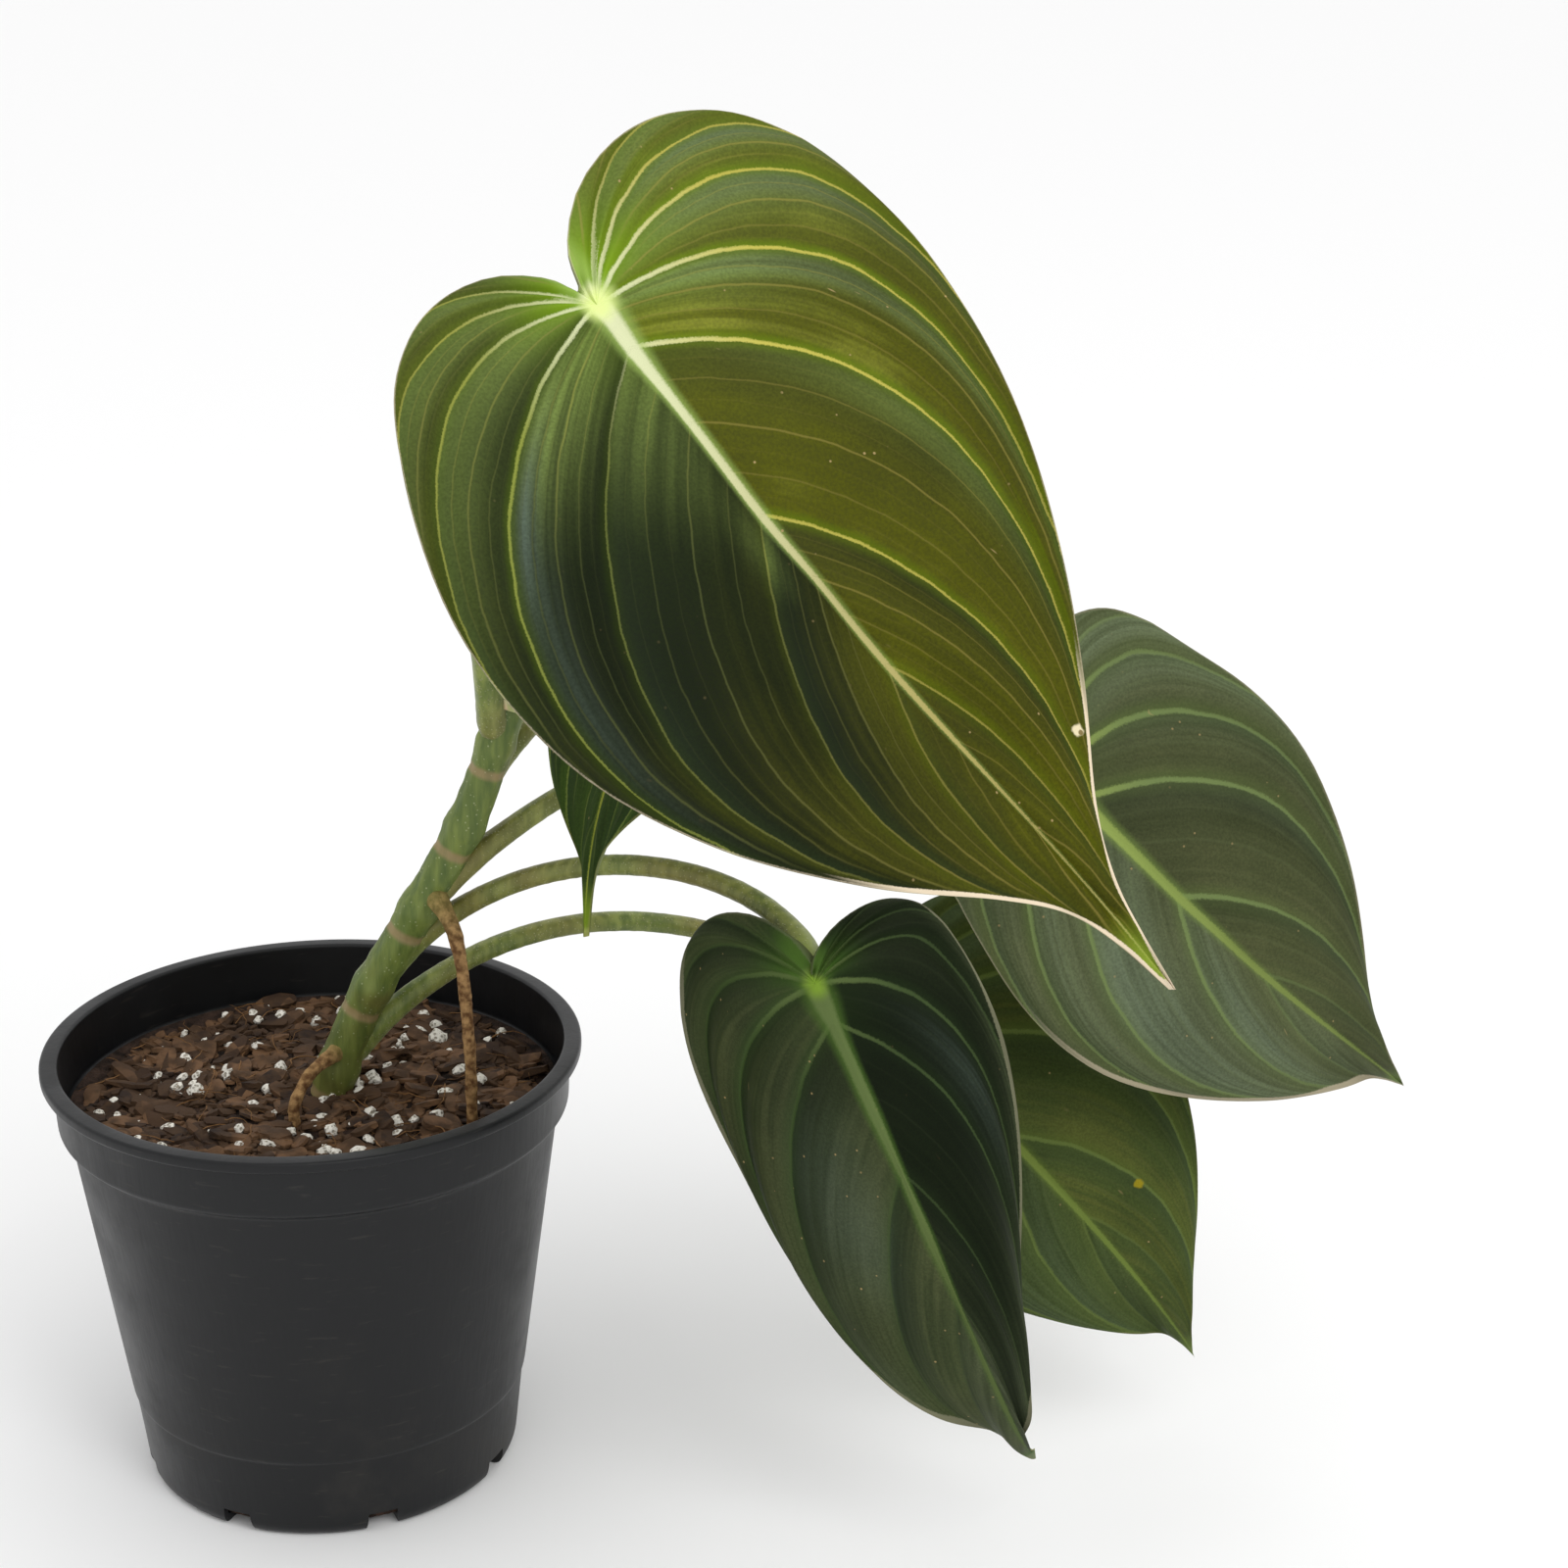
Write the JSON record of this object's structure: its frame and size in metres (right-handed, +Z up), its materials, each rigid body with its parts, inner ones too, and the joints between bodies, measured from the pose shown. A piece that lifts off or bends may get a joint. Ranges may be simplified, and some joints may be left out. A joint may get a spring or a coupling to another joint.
{
  "type": "potted philodendron",
  "caption": "Young climbing philodendron with large velvety dark heart-shaped leaves on slim stalks, growing in a round black nursery pot.",
  "frame": {"origin": "centre of the pot's underside, where the pot stands on the surface", "axes": "+Z up along the pot's axis, out of its mouth; +Y away from the viewer of the plant's front, so the newest leaf faces -Y; +X to the viewer's right, the side the plant leans to"},
  "size_m": [0.2621, 0.1824, 0.2687],
  "materials": {
    "pot": "satin",
    "potting_mix": "matte",
    "stem": "satin",
    "spear": "satin",
    "petiole": "satin",
    "blade": "satin",
    "root": "matte"
  },
  "bodies": {
    "root": {"nursery_pot": "pot", "potting_mix": "potting_mix", "stem": "stem", "growing_spear": "spear", "petiole_1": "petiole", "petiole_2": "petiole", "petiole_3": "petiole", "petiole_4": "petiole", "petiole_5": "petiole", "blade_1": "blade", "blade_2": "blade", "blade_3": "blade", "blade_4": "blade", "blade_5": "blade", "aerial_root_1": "root", "aerial_root_2": "root", "aerial_root_3": "root"}
  },
  "joints": []
}
